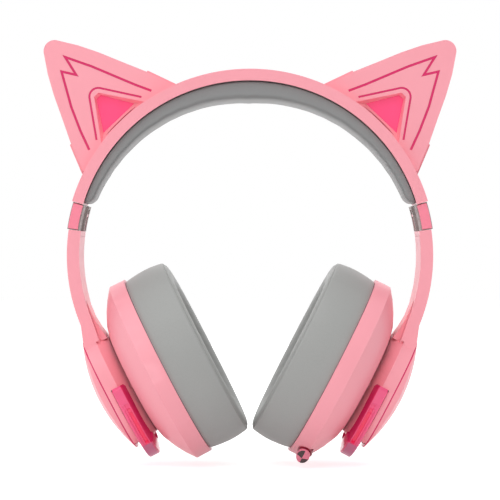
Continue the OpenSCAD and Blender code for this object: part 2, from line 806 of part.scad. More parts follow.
module driver() color(steel) at_cup() {
    translate([0, 0, -0.6]) cylinder(r = driver_r, h = driver_back + 0.6);
    translate([0, 0, driver_back - 0.1]) cylinder(r = magnet_r, h = magnet_back - driver_back + 0.1);
}

module ear_cushion() color(grey) at_cup() difference() {
    lofted(cushion_levels, 0, -1);
    translate([0, 0, -cushion_t - 1]) linear_extrude(cushion_t + 2)
        polygon(oval(ear_hole_l, ear_hole_w, 2.4));
}

module speaker_cloth() color(black) at_cup() translate([0, 0, -cloth_w[1]])
    linear_extrude(cloth_w[1] - cloth_w[0])
    polygon(oval(ear_hole_l - 0.1, ear_hole_w - 0.1, 2.4));

module battery() color(grey_dark) at_cup() translate([-15, driver_r + 1.6, baffle_w[1] + 0.1])
    cube([30, 12, 5]);

// ---- left cup's electronics, microphone and controls ----

// Switches stand on the board, and two cheeks carry the volume rocker's pivot
module main_board() color(board_green) at_cup() {
    translate([-21, board_y - board_t, baffle_w[1] + 0.1]) cube([40, board_t, 5]);
    for (s = [power_s, mode_s, rocker_s - rocker_stem_s, rocker_s + rocker_stem_s])
        translate([s - 1.5, board_y - 0.05, control_w - 1.5]) cube([3, switch_h + 0.05, 3]);
    for (m = [-1, 1]) difference() {
        translate([rocker_s - 2, board_y - 0.05, control_w + (m > 0 ? cheek[0] : -cheek[1])])
            cube([4, rocker_pivot_y - board_y + 1, cheek[1] - cheek[0]]);
        translate([rocker_s, rocker_pivot_y, control_w])
            cylinder(r = rocker_pin_r + pin_clearance, h = 10, center = true);
    }
}

// A stop flange behind the shell's wall keeps each button in
module push_button(s) {
    wall_y = edge_y(abs(s) + button_half_l + flange, cup_wall) - 0.35;
    color(pink_deep) at_cup() on_back_edge(s) {
        intersection() {
            button_prism(button_half_l, control_half_w, wall_y - 0.6, 60);
            rotate([90, 0, 0]) translate([-s, 0, -control_w - control_half_w]) linear_extrude(2 * control_w)
                polygon(oval(cup_half_l + control_proud, cup_half_w + control_proud, oval_power));
        }
        button_prism(button_half_l + flange, control_half_w + 0.3, wall_y - 1.2, wall_y - 0.2);
        button_prism(1.2, 1.2, board_y + switch_h + button_travel + 0.1, wall_y - 0.5);
    }
}

module power_button() push_button(power_s);
module mode_button() push_button(mode_s);

module volume_rocker() color(pink_deep) at_cup() {
    on_back_edge(rocker_s) {
        intersection() {
            button_prism(rocker_half_l, control_half_w, rocker_in_y, 60);
            rotate([90, 0, 0]) translate([-rocker_s, 0, -control_w - control_half_w])
                linear_extrude(2 * control_w)
                polygon(oval(cup_half_l + control_proud, cup_half_w + control_proud, oval_power));
        }
        for (m = [-1, 1]) translate([m * rocker_stem_s, 0, 0])
            button_prism(1, 1, board_y + switch_h + 0.5, rocker_in_y + 0.1);
    }
    translate([rocker_s, rocker_pivot_y, control_w])
        cylinder(r = rocker_pin_r, h = 2 * cheek[1], center = true);
}

module mic_boom() color(pink_deep) at_cup() {
    mic_axis(-mic_inside, mic_outside - 1.2, mic_r);
    translate([mic_exit[0], mic_exit[1], mic_w]) rotate([0, 90, mic_turn])
        translate([0, 0, mic_outside - 1.2]) cylinder(r1 = mic_r, r2 = mic_r - 1, h = 1.2, $fn = 64);
}

module mic_guide() color("#8f1430") at_cup() difference() {
    mic_axis(-guide_in, guide_out, guide_r);
    mic_axis(-guide_in - 1, guide_out + 1, mic_r + pin_clearance);
}

module usb_port() color(steel) at_cup() {
    difference() {
        usb_axis(usb_face - usb_len, usb_face, 0);
        usb_axis(usb_face - usb_len + 1, usb_face + 1, -0.6);
    }
    translate([usb_face - usb_len + 0.5, usb_y - 3.2, usb_w - 0.35]) cube([usb_len - 1.5, 6.4, 0.7]);
}

module audio_jack() color(black) at_cup() difference() {
    jack_axis(-socket_depth - 1, -0.3, jack_r);
    jack_axis(-socket_depth - 0.3, 1, socket_r);
}

headband_shell();
headband_liner();
headband_spring();
headband_pad();
headband_screws();
left() ear_front();  // left_ear_front
left() ear_back();  // left_ear_back
left() ear_base();  // left_ear_base
left() ear_lens();  // left_ear_lens
left() ear_lines();  // left_ear_lines
left() ear_board();  // left_ear_board
right() ear_front();  // right_ear_front
right() ear_back();  // right_ear_back
right() ear_base();  // right_ear_base
right() ear_lens();  // right_ear_lens
right() ear_lines();  // right_ear_lines
right() ear_board();  // right_ear_board
left() slider_strip();  // left_slider_strip
left() hinge_block();  // left_hinge_block
left() hinge_trim();  // left_hinge_trim
left() fold_pin();  // left_fold_pin
right() slider_strip();  // right_slider_strip
right() hinge_block();  // right_hinge_block
right() hinge_trim();  // right_hinge_trim
right() fold_pin();  // right_fold_pin
left() arm_shell();  // left_arm_shell
left() arm_cover();  // left_arm_cover
left() cap_dome();  // left_cap_dome
left() accent_line();  // left_accent_line
left() light_module();  // left_light_module
left() light_board();  // left_light_board
right() arm_shell();  // right_arm_shell
right() arm_cover();  // right_arm_cover
right() cap_dome();  // right_cap_dome
right() accent_line();  // right_accent_line
right() light_module();  // right_light_module
right() light_board();  // right_light_board
left() gimbal_block();  // left_gimbal_block
left() gimbal_pins();  // left_gimbal_pins
right() gimbal_block();  // right_gimbal_block
right() gimbal_pins();  // right_gimbal_pins
left_cup_shell();
left() baffle();  // left_baffle
left() driver();  // left_driver
left() ear_cushion();  // left_ear_cushion
left() speaker_cloth();  // left_speaker_cloth
right_cup_shell();
right() baffle();  // right_baffle
right() driver();  // right_driver
right() ear_cushion();  // right_ear_cushion
right() speaker_cloth();  // right_speaker_cloth
right() battery();
main_board();
mic_boom();
mic_guide();
power_button();
volume_rocker();
mode_button();
usb_port();
audio_jack();
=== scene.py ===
"""Visual model of an over-ear gaming headset with cat ears, lit lines and a pull-out microphone.

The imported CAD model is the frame. Hard shells are copies of its parts with softened edges,
and the padding, the light modules and the microphone are new surfaces worked out here.
"""

import json
import math

import bmesh
import bpy
import numpy as np
from bpy.props import FloatProperty, FloatVectorProperty, PointerProperty
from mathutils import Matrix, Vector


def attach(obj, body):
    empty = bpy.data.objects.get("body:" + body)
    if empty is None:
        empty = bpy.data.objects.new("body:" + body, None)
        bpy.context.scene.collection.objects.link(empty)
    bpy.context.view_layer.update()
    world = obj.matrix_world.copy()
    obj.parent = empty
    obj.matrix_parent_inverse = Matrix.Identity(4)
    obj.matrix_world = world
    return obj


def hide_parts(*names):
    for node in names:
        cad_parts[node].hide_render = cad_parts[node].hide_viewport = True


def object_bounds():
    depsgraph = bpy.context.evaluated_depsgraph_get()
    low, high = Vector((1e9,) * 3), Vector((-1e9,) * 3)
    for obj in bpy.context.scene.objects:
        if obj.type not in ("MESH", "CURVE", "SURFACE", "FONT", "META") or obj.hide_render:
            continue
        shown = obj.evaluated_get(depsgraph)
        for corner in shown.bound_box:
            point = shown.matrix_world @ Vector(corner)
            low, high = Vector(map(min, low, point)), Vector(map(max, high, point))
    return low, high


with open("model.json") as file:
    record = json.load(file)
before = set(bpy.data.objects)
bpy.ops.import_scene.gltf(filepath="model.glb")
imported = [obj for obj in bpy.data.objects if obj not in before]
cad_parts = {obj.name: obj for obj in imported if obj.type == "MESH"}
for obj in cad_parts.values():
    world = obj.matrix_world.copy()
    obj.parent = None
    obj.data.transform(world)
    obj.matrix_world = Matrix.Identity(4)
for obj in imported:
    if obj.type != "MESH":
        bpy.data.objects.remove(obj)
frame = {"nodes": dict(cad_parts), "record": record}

bl_info = {
    "name": "Cat ear gaming headset",
    "version": (1, 0, 0),
    "blender": (4, 5, 0),
    "location": "View3D > Sidebar > Headset",
    "description": "Builds the looks of a cat ear gaming headset around its packed CAD model",
    "category": "Object",
}

MM = 0.001
SIDES = {"left": 1, "right": -1}
CAD_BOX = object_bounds()

# The camera's place in metres and its lens in millimetres, for a sensor 36 mm wide
CAMERA_PLACE = (0, -0.92, -0.0701)
CAMERA_LENS = 139.4
SENSOR_WIDTH = 36
# Each lamp's name, place in metres, side in metres and power in watts, and the point that all of them face
LAMPS = (
    ("Key", (-0.25, -0.9, 0.75), 1.0, 6),
    ("Fill", (0.8, -0.8, 0.1), 1.0, 0.8),
    ("Side", (-1.0, -0.3, -0.05), 0.8, 1.8),
    ("Top", (0.0, 0.1, 1.0), 1.2, 7),
    ("Back", (0.0, 1.0, 0.3), 1.0, 2),
)
LAMP_TARGET = (0, 0, -0.07)
# Strength of the surroundings as a light, and of the floor's glow for the camera
WORLD_LIGHT = 0.36
FLOOR_GLOW = 0.66
# The floor's distance below the headset at rest, and half its width, in metres
FLOOR_GAP = 0.002
FLOOR_REACH = 3.0


def length(name, description, default):
    """A length property whose default is written in millimetres."""
    return FloatProperty(
        name=name, description=description, default=default * MM, unit="LENGTH", subtype="DISTANCE"
    )


def colour_value(name, description, default):
    """A colour property whose default is written as an sRGB hex value."""
    return FloatVectorProperty(
        name=name, description=description, subtype="COLOR", size=3, min=0, max=1, default=linear(default)
    )


def linear(hex_colour):
    """An sRGB hex colour such as "#ffa9b4" as linear red, green and blue."""
    parts = np.array([int(hex_colour[i : i + 2], 16) / 255 for i in (1, 3, 5)])
    return tuple(np.where(parts <= 0.04045, parts / 12.92, ((parts + 0.055) / 1.055) ** 2.4).tolist())


class HeadsetSizes(bpy.types.PropertyGroup):
    """Sizes of the new pieces, which match the CAD model's."""

    arc_centre: length("Arc centre", "Height of the headband arc's centre", -72.7)
    band_radius: length("Band radius", "Outer radius of the headband", 87.1)
    band_inner: length("Band inner radius", "Inner radius of the headband, where the pad is glued", 81.8)
    band_depth: length("Band depth", "Front to back depth of the headband at its crown", 36)
    band_end_depth: length("Band end depth", "Front to back depth of the headband at its ends", 28)
    pad_crown: length("Pad at the crown", "Thickness of the headband pad at its crown", 9.1)
    pad_end: length("Pad at its ends", "Thickness of the headband pad at its ends", 4.1)
    cup_x: length("Cup place", "Distance of the cup's middle from the middle plane", 38.897)
    cup_z: length("Cup height", "Height of the cup's middle", -124.6)
    cup_lean: FloatProperty(
        name="Cup lean",
        description="Angle of the cups from upright",
        default=math.radians(27.3),
        unit="ROTATION",
        subtype="ANGLE",
    )
    cup_half_height: length("Cup half height", "Half height of a cup", 45.5)
    cup_half_depth: length("Cup half depth", "Half depth of a cup, front to back", 39)
    cushion_depth: length("Cushion depth", "Thickness of an ear cushion", 21.2)
    ear_hole_height: length("Ear opening half height", "Half height of a cushion's opening", 27)
    ear_hole_depth: length("Ear opening half depth", "Half depth of a cushion's opening", 21)
    cap_half_height: length("Cap half height", "Half height of the cap behind a cup", 28)
    cap_half_depth: length("Cap half depth", "Half depth of the cap behind a cup", 20.5)
    edge_round: length("Edge rounding", "Radius of the edges of moulded parts", 0.35)


class HeadsetColours(bpy.types.PropertyGroup):
    """Colours of the headset's materials."""

    shell: colour_value("Shell", "Pink of the headband, ears, arms and cups", "#ffa6b2")
    trim: colour_value("Trim", "Deeper pink of the hinge trims and buttons", "#ff8ba1")
    lines: colour_value("Lines", "Magenta of the lit lines", "#d4105f")
    lens: colour_value("Lens", "Lit pink of the ear lenses", "#ff4a85")
    module: colour_value("Light module", "Pink of the translucent light modules", "#e2487a")
    module_end: colour_value("Light module's end", "Plum pink of a light module's unlit end", "#b9567f")
    # Painted shade: the deeper pink of the module's inner side stands for the shadow on its inner bevel
    module_side_shade: colour_value("Light module's side", "Deep pink of a light module's inner side", "#cc2a60")
    module_light: colour_value("Light channel", "Bright pink of a light module's channel", "#e01c58")
    pad: colour_value("Headband pad", "Grey of the headband pad", "#8f9090")
    cushion: colour_value("Ear cushions", "Grey of the ear cushions", "#a6a7a5")
    dark: colour_value("Dark plastic", "Black of the parts inside", "#2b2b2e")
    hinge: colour_value("Hinge and liner", "Warm grey of the hinge blocks and the liner", "#a89d9b")
    ring: colour_value("Microphone ring", "Dark red of the ring round the microphone", "#8f1430")
    board: colour_value("Circuit board", "Green of the circuit boards", "#2f6b4a")


# ---- meshes ----


def sizes():
    """The scene's size properties."""
    return bpy.context.scene.headset_sizes


def colours():
    """The scene's colour properties."""
    return bpy.context.scene.headset_colours


def signed_power(values, power):
    """The size of each value raised to a power, with the value's own sign."""
    return np.sign(values) * np.abs(values) ** power


def oval(angle, half_height, half_depth, power):
    """A superellipse: half height times cos to the 2/power, and half depth times sin to the 2/power."""
    height = half_height * signed_power(np.cos(angle), 2 / power)
    depth = half_depth * signed_power(np.sin(angle), 2 / power)
    return np.stack([height, depth], -1)


def from_cup(points, side):
    """Places points given as (down the cup, to the back, outward from its seam) on the left or right cup."""
    s = sizes()
    sin, cos = math.sin(s.cup_lean), math.cos(s.cup_lean)
    down, back, out = points[..., 0], points[..., 1], points[..., 2]
    x = s.cup_x - sin * down + cos * out
    z = s.cup_z - cos * down - sin * out
    return np.stack([SIDES[side] * x, back, z], -1)


def through(keys, count, closed=False):
    """A smooth curve through the keys: a Catmull-Rom spline, stepped evenly in its parameter."""
    keys = np.array(keys, float)
    spans = len(keys) if closed else len(keys) - 1
    t = np.linspace(0, spans, count, endpoint=not closed)
    i = np.minimum(t.astype(int), spans - 1)
    f = (t - i)[:, None]

    def key(j):
        return keys[j % len(keys)] if closed else keys[np.clip(j, 0, len(keys) - 1)]

    a, b, c, d = key(i - 1), key(i), key(i + 1), key(i + 2)
    return 0.5 * (2 * b + (c - a) * f + (2 * a - 5 * b + 4 * c - d) * f**2 + (3 * b - a - 3 * c + d) * f**3)


def volume(points, faces):
    """The volume inside a closed mesh of quads or triangles, positive when its faces point outwards."""
    total = 0.0
    for i in range(1, faces.shape[1] - 1):
        a, b, c = points[faces[:, 0]], points[faces[:, i]], points[faces[:, i + 1]]
        total += np.einsum("ij,ij->i", a, np.cross(b, c)).sum()
    return total / 6


def skin(name, rings, closed=False, attributes=None):
    """A surface over rings of points. Each ring is closed, and the row of rings is closed or gets flat ends.

    The surface's UV map holds the distance along the rings' row and round a ring, in metres. The attributes
    give each a value for every point of the rings.
    """
    n, m = rings.shape[:2]
    rows = np.arange(n if closed else n - 1)
    i, j = np.meshgrid(rows, np.arange(m), indexing="ij")
    i2, j2 = (i + 1) % n, (j + 1) % m
    faces = np.stack([i * m + j, i2 * m + j, i2 * m + j2, i * m + j2], -1).reshape(-1, 4)
    points = rings.reshape(-1, 3)
    along = np.cumsum(np.linalg.norm(np.diff(rings, axis=0, prepend=rings[:1]), axis=2).mean(1))
    rounds = np.cumsum(np.linalg.norm(np.diff(rings, axis=1, prepend=rings[:, :1]), axis=2).mean(0))
    corner_u = np.stack([along[i], along[i2], along[i2], along[i]], -1)
    corner_v = np.stack([rounds[j], rounds[j], rounds[j2], rounds[j2]], -1)
    uv = np.stack([corner_u, corner_v], -1).reshape(-1, 4, 2)
    ends = []
    if not closed:
        points = np.vstack([points, rings[0].mean(0), rings[-1].mean(0)])
        k = np.arange(m)
        ends = [
            np.stack([np.full(m, n * m), k, (k + 1) % m], -1),
            np.stack([np.full(m, n * m + 1), (n - 1) * m + (k + 1) % m, (n - 1) * m + k], -1),
        ]
    total = volume(points, faces) + sum(volume(points, e) for e in ends)
    order = slice(None) if total > 0 else slice(None, None, -1)
    faces, uv = faces[:, order], uv[:, order]
    lists = faces.tolist() + [row for e in ends for row in e[:, order].tolist()]
    mesh = bpy.data.meshes.new(name)
    mesh.from_pydata(points.tolist(), [], lists)
    layer = mesh.uv_layers.new(name="lengths")
    flat = np.concatenate([uv.reshape(-1, 2), np.zeros((sum(3 * len(e) for e in ends), 2))])
    layer.data.foreach_set("uv", flat.astype(np.float32).ravel())
    for key, values in (attributes or {}).items():
        data = mesh.attributes.new(key, "FLOAT", "POINT")
        full = np.concatenate([values.ravel(), np.zeros(len(points) - values.size)])
        if not closed:
            full[-2:] = values[0].mean(), values[-1].mean()
        data.data.foreach_set("value", full.astype(np.float32))
    return mesh


def smooth(mesh, angle=30):
    """Smooth shading, with a sharp edge wherever two faces meet at more than an angle in degrees."""
    mesh.polygons.foreach_set("use_smooth", np.ones(len(mesh.polygons), bool))
    mesh.set_sharp_from_angle(angle=math.radians(angle))
    mesh.update()


def piece(name, mesh, body, material, replaces=(), angle=30):
    """Puts a finished mesh in the scene on a CAD body, in place of the CAD nodes that it stands for."""
    smooth(mesh, angle)
    mesh.materials.clear()
    mesh.materials.append(material)
    made = bpy.data.objects.new(name, mesh)
    bpy.context.scene.collection.objects.link(made)
    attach(made, body)
    if replaces:
        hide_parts(*replaces)
    return made


def body_of(node):
    """The CAD body that a node moves with."""
    return next(b for b, nodes in frame["record"]["behaviour"]["bodies"].items() if node in nodes)


def keep_largest_part(work):
    """Deletes all but the largest loose part of a mesh, such as a crumb that a cut left behind."""
    left = set(work.verts)
    parts = []
    while left:
        part, reached = set(), {left.pop()}
        while reached:
            part |= reached
            reached = {edge.other_vert(v) for v in reached for edge in v.link_edges} - part
        left -= part
        parts.append(part)
    largest = max(parts, key=len)
    crumbs = [v for part in parts if part is not largest for v in part]
    bmesh.ops.delete(work, geom=crumbs, context="VERTS")


def softened(node, material, width=None, angle=35, one_part=False):
    """A copy of a CAD part, merged and with its edges rounded, which stands for it.

    With one_part, only the largest of its loose parts is kept.
    """
    source = frame["nodes"][node].data
    mesh = bpy.data.meshes.new(node + "_moulded")
    work = bmesh.new()
    work.from_mesh(source)
    bmesh.ops.remove_doubles(work, verts=work.verts, dist=0.002 * MM)
    bmesh.ops.dissolve_limit(
        work, angle_limit=math.radians(0.2), verts=work.verts, edges=work.edges, delimit={"SHARP"}
    )
    if one_part:
        keep_largest_part(work)
    work.to_mesh(mesh)
    work.free()
    if "custom_normal" in mesh.attributes:
        mesh.attributes.remove(mesh.attributes["custom_normal"])
    made = piece(node + "_moulded", mesh, body_of(node), material, [node], angle)
    bevel = made.modifiers.new("Rounded edges", "BEVEL")
    bevel.width = width if width is not None else sizes().edge_round
    bevel.segments = 2
    bevel.limit_method = "ANGLE"
    bevel.angle_limit = math.radians(angle)
    bevel.use_clamp_overlap = True
    bevel.harden_normals = True
    return made


# ---- materials ----


def add_node(tree, kind, settings=None, links=None, **values):
    """Adds a node, sets its properties and its sockets' values, and links sockets to other nodes' outputs."""
    node = tree.nodes.new(kind)
    for key, value in (settings or {}).items():
        setattr(node, key, value)
    for key, value in values.items():
        node.inputs[key.replace("_", " ")].default_value = value
    for key, output in (links or {}).items():
        tree.links.new(output, node.inputs[key])
    return node


def new_material(name):
    """An empty material with its surface shader and a place for object coordinates."""
    material = bpy.data.materials.new(name)
    material.use_nodes = True
    tree = material.node_tree
    tree.nodes.clear()
    shader = add_node(tree, "ShaderNodeBsdfPrincipled")
    add_node(tree, "ShaderNodeOutputMaterial", links={"Surface": shader.outputs[0]})
    place = add_node(tree, "ShaderNodeTexCoord")
    return material, tree, shader, place.outputs["Object"]


def rgba(colour):
    """A linear colour with full opacity."""
    return (*colour, 1.0)


def shaded(colour, factor):
    """A linear colour made lighter or darker by a factor, up to full brightness."""
    return tuple(min(1.0, c * factor) for c in colour)


def per_mm(size):
    """A texture scale, in object units, for a pattern whose features are that many millimetres across."""
    return 1 / (size * MM)


def varied_colour(tree, where, colour, size, spread):
    """A colour that drifts a little over the surface, in patches of that many millimetres."""
    noise = add_node(tree, "ShaderNodeTexNoise", links={"Vector": where}, Scale=per_mm(size), Detail=2.0)
    mix = add_node(tree, "ShaderNodeMix", {"data_type": "RGBA"}, {"Factor": noise.outputs["Fac"]})
    mix.inputs["A"].default_value = rgba(shaded(colour, 1 - spread))
    mix.inputs["B"].default_value = rgba(shaded(colour, 1 + spread))
    return mix.outputs["Result"]


def varied_roughness(tree, where, low, high, size):
    """A roughness that drifts between two values, in patches of that many millimetres."""
    noise = add_node(tree, "ShaderNodeTexNoise", links={"Vector": where}, Scale=per_mm(size), Detail=3.0)
    spread = add_node(
        tree, "ShaderNodeMapRange", links={"Value": noise.outputs["Fac"]}, To_Min=low, To_Max=high
    )
    return spread.outputs["Result"]


def moulded_abs(name, colour, low=0.34, high=0.46, bump=0.012, coat=0.0):
    """Moulded ABS with a satin spark-eroded grain: an even colour, a broad soft highlight and a fine tooth.

    The real grain is about 0.1 mm, and it is drawn at 0.35 mm so that it shows.
    """
    material, tree, shader, where = new_material(name)
    tree.links.new(varied_colour(tree, where, colour, 30, 0.025), shader.inputs["Base Color"])
    tree.links.new(varied_roughness(tree, where, low, high, 6), shader.inputs["Roughness"])
    grain = add_node(tree, "ShaderNodeTexNoise", links={"Vector": where}, Scale=per_mm(0.35), Detail=2.0)
    relief = add_node(
        tree, "ShaderNodeBump", links={"Height": grain.outputs["Fac"]}, Strength=0.35, Distance=bump * MM
    )
    tree.links.new(relief.outputs["Normal"], shader.inputs["Normal"])
    shader.inputs["IOR"].default_value = 1.53
    shader.inputs["Specular IOR Level"].default_value = 0.42
    shader.inputs["Coat Weight"].default_value = coat
    return material


def leatherette(name, colour):
    """Polyurethane leatherette over foam: a satin film with a faint pebble, a dull sheen and soft creases.

    The pebbles are 0.5 mm across and only just show, and their grooves get a barely darker painted shade.
    """
    material, tree, shader, where = new_material(name)
    base = varied_colour(tree, where, colour, 22, 0.03)
    pebbles = add_node(
        tree, "ShaderNodeTexVoronoi", {"feature": "DISTANCE_TO_EDGE"}, {"Vector": where}, Scale=per_mm(0.5)
    )
    raised = add_node(
        tree, "ShaderNodeMapRange", links={"Value": pebbles.outputs["Distance"]}, From_Max=0.2, To_Max=1.0
    )
    # Painted shade: the grooves between the pebbles are made a little darker than the film
    groove_shade = add_node(
        tree, "ShaderNodeMix", {"data_type": "RGBA"}, {"Factor": raised.outputs["Result"], "B": base}
    )
    groove_shade.inputs["A"].default_value = rgba(shaded(colour, 0.93))
    tree.links.new(groove_shade.outputs["Result"], shader.inputs["Base Color"])
    fine = add_node(
        tree, "ShaderNodeBump", links={"Height": raised.outputs["Result"]}, Strength=0.12, Distance=0.02 * MM
    )
    creases = add_node(tree, "ShaderNodeTexNoise", links={"Vector": where}, Scale=per_mm(9), Detail=2.0)
    soft = add_node(
        tree,
        "ShaderNodeBump",
        links={"Height": creases.outputs["Fac"], "Normal": fine.outputs["Normal"]},
        Strength=0.2,
        Distance=0.25 * MM,
    )
    tree.links.new(soft.outputs["Normal"], shader.inputs["Normal"])
    tree.links.new(varied_roughness(tree, where, 0.44, 0.54, 8), shader.inputs["Roughness"])
    shader.inputs["Sheen Weight"].default_value = 0.06
    shader.inputs["Specular IOR Level"].default_value = 0.35
    return material


def lit_plastic(name, colour, strength, spread=0.06):
    """Translucent polycarbonate lit from behind: saturated, with its own even glow and a glossy face."""
    material, tree, shader, where = new_material(name)
    tone = varied_colour(tree, where, colour, 8, spread)
    tree.links.new(tone, shader.inputs["Base Color"])
    tree.links.new(tone, shader.inputs["Emission Color"])
    shader.inputs["Emission Strength"].default_value = strength
    tree.links.new(varied_roughness(tree, where, 0.2, 0.3, 5), shader.inputs["Roughness"])
    shader.inputs["IOR"].default_value = 1.58
    return material


def module_plastic(name):
    """Tinted polycarbonate of a light module, glossy and lit from behind.

    The attributes of the mesh tell it where the light channel glows, where the bar is a solid plum block, and
    where the inner side gets a deeper pink as painted shade.
    """
    material, tree, shader, where = new_material(name)
    c = colours()
    lit = varied_colour(tree, where, c.module, 7, 0.08)
    # The channel's glow comes last, because its share also sets the strength of the light below
    # The inner side's deeper pink is painted shade
    for attribute, colour in (("solid", c.module_end), ("inner", c.module_side_shade), ("glow", c.module_light)):
        share = add_node(tree, "ShaderNodeAttribute", {"attribute_name": attribute})
        mix = add_node(
            tree, "ShaderNodeMix", {"data_type": "RGBA"}, {"Factor": share.outputs["Fac"], "A": lit}
        )
        mix.inputs["B"].default_value = rgba(colour)
        lit = mix.outputs["Result"]
    tree.links.new(lit, shader.inputs["Base Color"])
    tree.links.new(lit, shader.inputs["Emission Color"])
    power = add_node(
        tree, "ShaderNodeMapRange", links={"Value": share.outputs["Fac"]}, To_Min=0.16, To_Max=0.26
    )
    tree.links.new(power.outputs["Result"], shader.inputs["Emission Strength"])
    tree.links.new(varied_roughness(tree, where, 0.12, 0.2, 5), shader.inputs["Roughness"])
    shader.inputs["IOR"].default_value = 1.58
    return material


def brushed_steel(name):
    """Cold rolled spring steel with a satin finish: neutral grey with fine lines along the strip."""
    material, tree, shader, where = new_material(name)
    turned = add_node(tree, "ShaderNodeMapping", links={"Vector": where})
    turned.inputs["Scale"].default_value = (1.0, 0.06, 1.0)
    lines = add_node(
        tree, "ShaderNodeTexNoise", links={"Vector": turned.outputs["Vector"]}, Scale=per_mm(0.3), Detail=2.0
    )
    rough = add_node(
        tree, "ShaderNodeMapRange", links={"Value": lines.outputs["Fac"]}, To_Min=0.25, To_Max=0.42
    )
    tree.links.new(rough.outputs["Result"], shader.inputs["Roughness"])
    tree.links.new(varied_colour(tree, where, linear("#b9bcc0"), 10, 0.04), shader.inputs["Base Color"])
    shader.inputs["Metallic"].default_value = 1.0
    return material


def speaker_cloth(name):
    """Black polyester speaker cloth, plain woven: threads 0.8 mm apart, drawn coarse enough to show."""
    material, tree, shader, where = new_material(name)
    threads = per_mm(0.8 * 6.3)
    warp, weft = (
        add_node(tree, "ShaderNodeTexWave", {"bands_direction": axis}, {"Vector": where}, Scale=threads)
        for axis in ("Y", "Z")
    )
    both = add_node(
        tree,
        "ShaderNodeMath",
        {"operation": "MULTIPLY"},
        {0: warp.outputs["Fac"], 1: weft.outputs["Fac"]},
    )
    mix = add_node(tree, "ShaderNodeMix", {"data_type": "RGBA"}, {"Factor": both.outputs[0]})
    mix.inputs["A"].default_value = rgba(linear("#19191b"))
    mix.inputs["B"].default_value = rgba(linear("#47474a"))
    tree.links.new(mix.outputs["Result"], shader.inputs["Base Color"])
    relief = add_node(
        tree, "ShaderNodeBump", links={"Height": both.outputs[0]}, Strength=0.6, Distance=0.1 * MM
    )
    tree.links.new(relief.outputs["Normal"], shader.inputs["Normal"])
    shader.inputs["Roughness"].default_value = 0.85
    shader.inputs["Sheen Weight"].default_value = 0.2
    return material


def microphone_gloss(name):
    """Polished tip of the microphone: four facets, painted mirror pink and dark plum in turn as painted
    reflections.
    """
    material, tree, shader, where = new_material(name)
    painted_dark_reflection = add_node(tree, "ShaderNodeAttribute", {"attribute_name": "painted_dark_reflection"})
    # Painted reflection: the facets take a light and a dark reflected colour in turn
    mix = add_node(tree, "ShaderNodeMix", {"data_type": "RGBA"}, {"Factor": painted_dark_reflection.outputs["Fac"]})
    mix.inputs["A"].default_value = rgba(linear("#f07f98"))
    mix.inputs["B"].default_value = rgba(linear("#33090f"))
    tree.links.new(mix.outputs["Result"], shader.inputs["Base Color"])
    tree.links.new(varied_roughness(tree, where, 0.16, 0.24, 3), shader.inputs["Roughness"])
    shader.inputs["Coat Weight"].default_value = 0.15
    return material


def make_materials():
    """Every material by the record's slot name, and by the names of those that only new pieces use."""
    c = colours()
    return {
        "shell_pink": moulded_abs("Moulded ABS pink", c.shell),
        "trim_pink": moulded_abs("Moulded ABS deep pink", c.trim, 0.28, 0.38),
        "line_magenta": lit_plastic("Lit polycarbonate magenta", c.lines, 0.06),
        "lens_pink": lit_plastic("Lit polycarbonate pink", c.lens, 0.12),
        "module": module_plastic("Tinted polycarbonate"),
        "pad_grey": leatherette("Leatherette mid grey", c.pad),
        "cushion_grey": leatherette("Leatherette light grey", c.cushion),
        "liner_grey": moulded_abs("Moulded nylon grey", c.hinge, 0.45, 0.6),
        "steel": brushed_steel("Spring steel"),
        "black_plastic": moulded_abs("Moulded ABS black", c.dark, 0.4, 0.55),
        "speaker_cloth": speaker_cloth("Woven speaker cloth"),
        "circuit_board": moulded_abs("Solder mask green", c.board, 0.2, 0.35, coat=0.3),
        "guide_red": moulded_abs("Polished ABS dark red", c.ring, 0.12, 0.2, coat=0.4),
        "battery_wrap": moulded_abs("Heat-shrunk PVC grey", c.hinge, 0.3, 0.5),
        # The tip's pink and plum are painted reflections
        "microphone": microphone_gloss("Polished ABS with painted reflections"),
    }


MATERIALS = {}


def material(key):
    """A material by its name here. All of them are made at the first call."""
    if not MATERIALS:
        MATERIALS.update(make_materials())
    return MATERIALS[key]


# ---- operators ----


class HEADSET_OT_stage(bpy.types.Operator):
    """Floor, soft studio light, white surroundings and the camera"""

    bl_idname = "headset.stage"
    bl_label = "Stage"

    def execute(self, context):
        scene = context.scene
        scene.view_settings.view_transform = "Standard"
        camera = bpy.data.cameras.new("Camera")
        camera.sensor_width = SENSOR_WIDTH
        camera.lens = CAMERA_LENS
        holder = bpy.data.objects.new("Camera", camera)
        holder.location = CAMERA_PLACE
        holder.rotation_euler = (math.radians(90), 0, 0)
        scene.collection.objects.link(holder)
        scene.camera = holder
        for values in LAMPS:
            lamp(*values)
        scene.world = white_world()
        floor()
        return {"FINISHED"}


def lamp(name, place, size, power):
    """A square soft box that faces the headset."""
    light = bpy.data.lights.new(name, "AREA")
    light.size = size
    light.energy = power
    made = bpy.data.objects.new(name, light)
    made.location = place
    away = np.array(place) - np.array(LAMP_TARGET)
    flat = math.hypot(away[0], away[1])
    made.rotation_euler = (math.atan2(flat, away[2]), 0, math.atan2(away[0], -away[1]))
    bpy.context.scene.collection.objects.link(made)


def seen_rays(tree):
    """One for camera, glossy and transmitted rays, and zero for the rays that light the object."""
    path = add_node(tree, "ShaderNodeLightPath")
    first = add_node(
        tree,
        "ShaderNodeMath",
        {"operation": "MAXIMUM"},
        {0: path.outputs["Is Camera Ray"], 1: path.outputs["Is Glossy Ray"]},
    )
    return add_node(
        tree,
        "ShaderNodeMath",
        {"operation": "MAXIMUM"},
        {0: first.outputs[0], 1: path.outputs["Is Transmission Ray"]},
    ).outputs[0]


